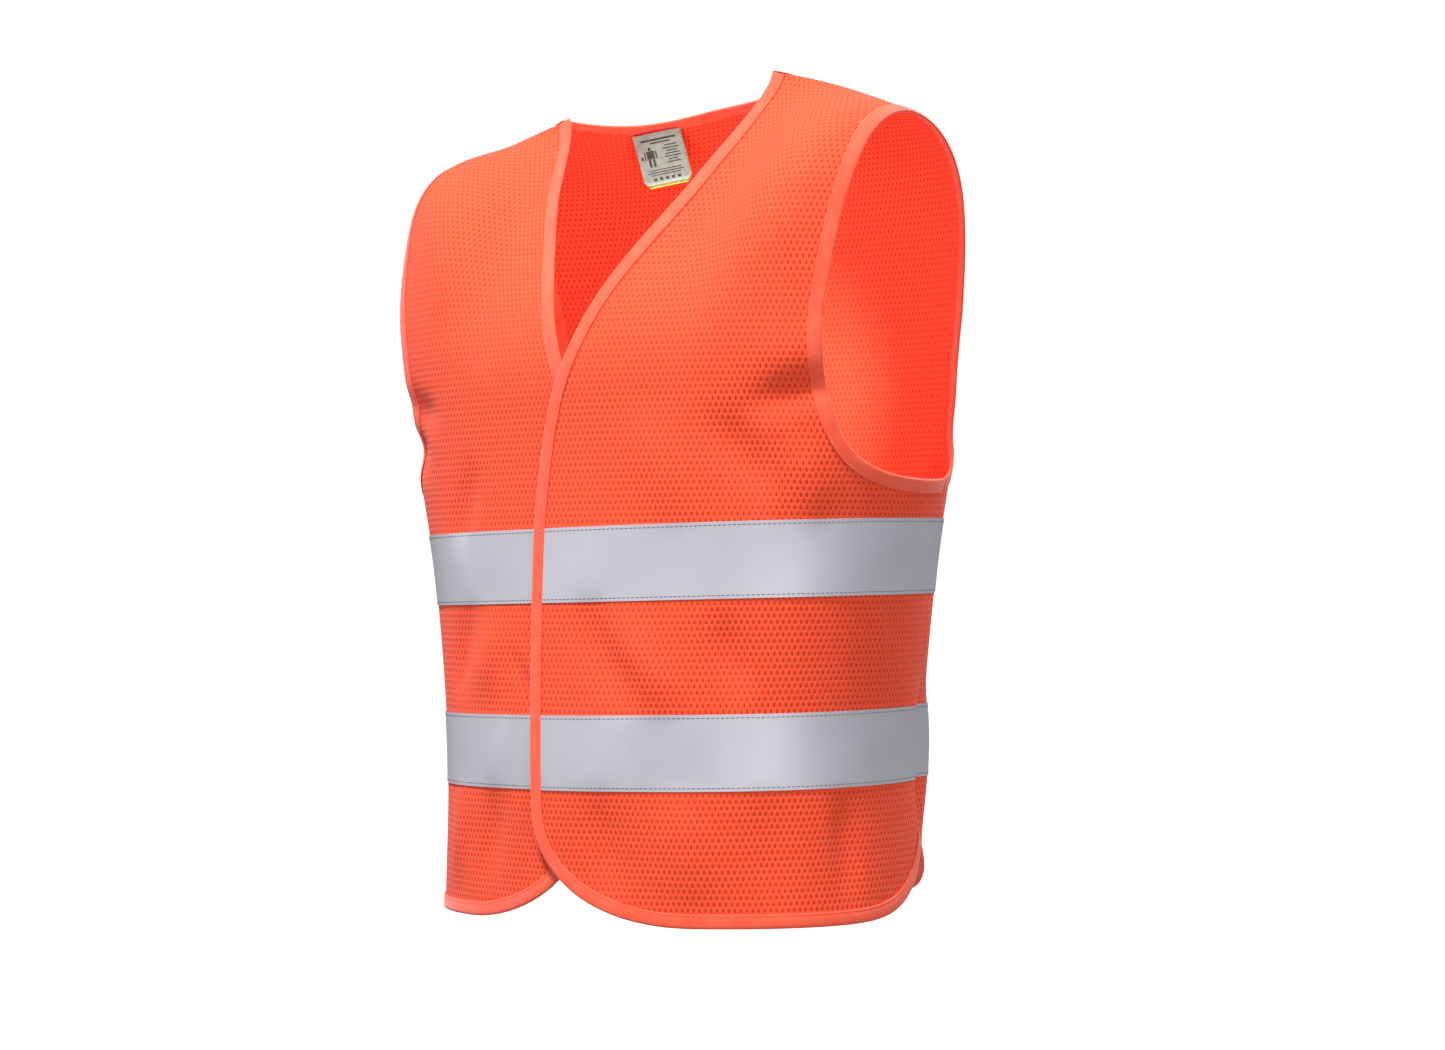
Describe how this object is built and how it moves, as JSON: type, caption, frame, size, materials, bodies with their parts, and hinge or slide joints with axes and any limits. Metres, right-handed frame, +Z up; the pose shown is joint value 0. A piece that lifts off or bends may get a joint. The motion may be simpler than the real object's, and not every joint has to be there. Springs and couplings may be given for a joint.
{
  "type": "high visibility vest",
  "caption": "Sleeveless open-front mesh safety vest in fluorescent orange with reflective tapes and bound edges, shown in its worn shape.",
  "frame": {"origin": "on the wearer's body axis at the level of the front hem", "axes": "+Z up, the front faces -Y, the wearer's left is +X"},
  "size_m": [0.3988, 0.2713, 0.5768],
  "materials": {
    "mesh": "fluorescent orange knitted mesh, matt",
    "binding": "plain woven orange binding tape, matt",
    "reflective_tape": "grey glass-bead retroreflective cloth, satin",
    "hook": "moulded hook tape, matt",
    "loop": "brushed loop tape, matt",
    "seam_thread": "overlocked thread, matt",
    "label": "off-white printed satin label"
  },
  "bodies": {
    "back": {"back_hem_binding": "binding", "back_left_armhole_binding": "binding", "back_lower_tape": "reflective_tape", "back_neck_binding": "binding", "back_panel": "mesh", "back_right_armhole_binding": "binding", "back_upper_tape": "reflective_tape", "left_shoulder_seam": "seam_thread", "left_side_seam": "seam_thread", "right_shoulder_seam": "seam_thread", "right_side_seam": "seam_thread"},
    "left_front": {"hook_pad_lower": "hook", "hook_pad_upper": "hook", "left_front_armhole_binding": "binding", "left_front_edge_binding": "binding", "left_front_lower_tape": "reflective_tape", "left_front_panel": "mesh", "left_front_upper_tape": "reflective_tape"},
    "right_front": {"loop_pad_lower": "loop", "loop_pad_upper": "loop", "right_front_armhole_binding": "binding", "right_front_edge_binding": "binding", "right_front_lower_tape": "reflective_tape", "right_front_panel": "mesh", "right_front_upper_tape": "reflective_tape"},
    "label": {"care_label": "label"}
  },
  "joints": [
    {"name": "left_front_open", "type": "hinge", "parent": "back", "child": "left_front", "pos_m": [0.199, 0.062, 0.28], "axis": [0, 0, 1], "range_deg": [0, 75]},
    {"name": "right_front_open", "type": "hinge", "parent": "back", "child": "right_front", "pos_m": [-0.199, 0.062, 0.28], "axis": [0, 0, 1], "range_deg": [-52.5, 0]},
    {"name": "label_flap", "type": "hinge", "parent": "back", "child": "label", "pos_m": [-0.053, 0.043, 0.5465], "axis": [-0.9254, -0.3368, -0.1736], "range_deg": [0, 90]}
  ],
  "couplings": [
    {"joint": "right_front_open", "follows": "left_front_open", "ratio": -0.7}
  ]
}
